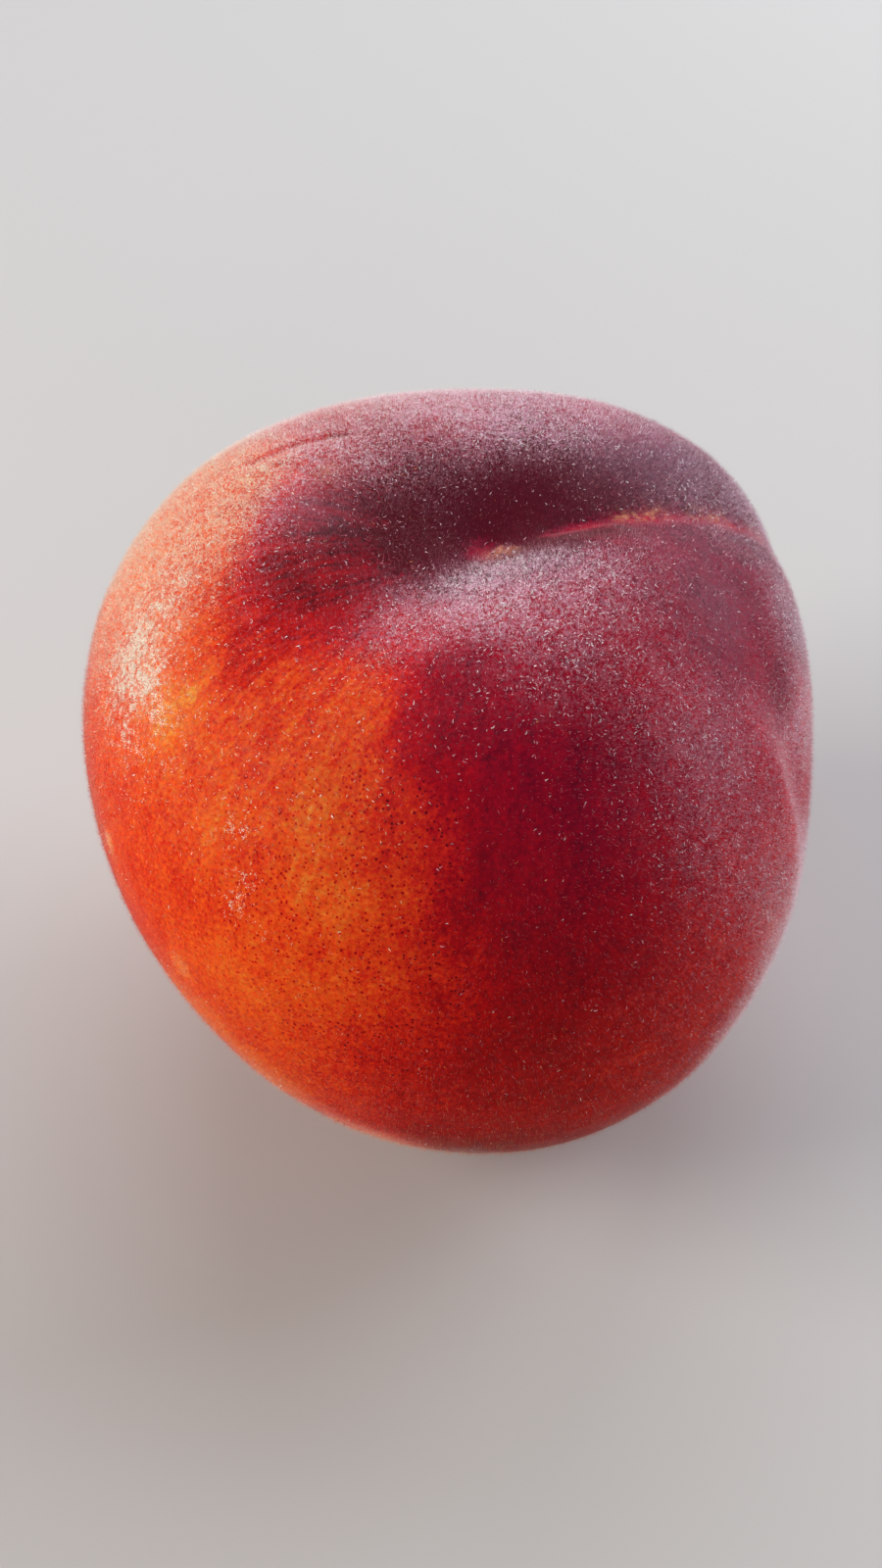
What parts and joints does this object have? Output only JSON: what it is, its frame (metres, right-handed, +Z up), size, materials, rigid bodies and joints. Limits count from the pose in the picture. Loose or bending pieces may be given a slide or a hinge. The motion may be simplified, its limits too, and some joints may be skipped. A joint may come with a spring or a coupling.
{
  "type": "peach",
  "caption": "Whole ripe peach with a stem cavity, a suture down one side and a shallow fold beside it, resting on a small flat spot beside its tip.",
  "frame": {"origin": "middle of the bounding box's base, on the surface that the fruit rests on", "axes": "+Z up, roughly along the stem axis, which leans 8 degrees towards +X; +X is the side that the suture runs to; -Y is the broad near cheek"},
  "size_m": [0.0718, 0.0726, 0.0671],
  "materials": {
    "skin": "matt, velvety fruit skin with short pale fuzz, orange to crimson blush"
  },
  "bodies": {
    "root": {"peach": "skin"}
  },
  "joints": []
}
